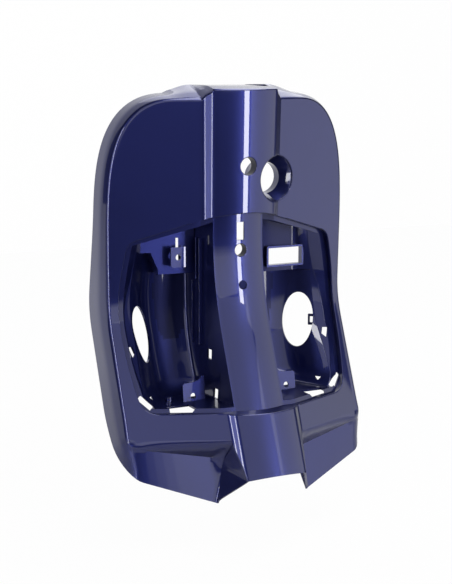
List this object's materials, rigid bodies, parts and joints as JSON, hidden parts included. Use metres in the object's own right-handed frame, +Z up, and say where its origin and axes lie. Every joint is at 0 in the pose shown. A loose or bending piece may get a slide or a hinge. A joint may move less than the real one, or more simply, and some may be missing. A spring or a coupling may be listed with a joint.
{
  "type": "scooter leg shield",
  "caption": "Moulded inner leg shield of a scooter: raised centre column, side wings with a rear flange, and a door recess over pockets with oval openings.",
  "frame": {"origin": "middle of the bag hook's hole in the centre column", "axes": "-Y towards the rider, +X to the right as the part is seen from the rider's seat, +Z up"},
  "size_m": [0.414, 0.2316, 0.609],
  "materials": {
    "leg_shield": "metallic paint under a clear coat"
  },
  "bodies": {
    "root": {"leg_shield": "leg_shield"}
  },
  "joints": []
}
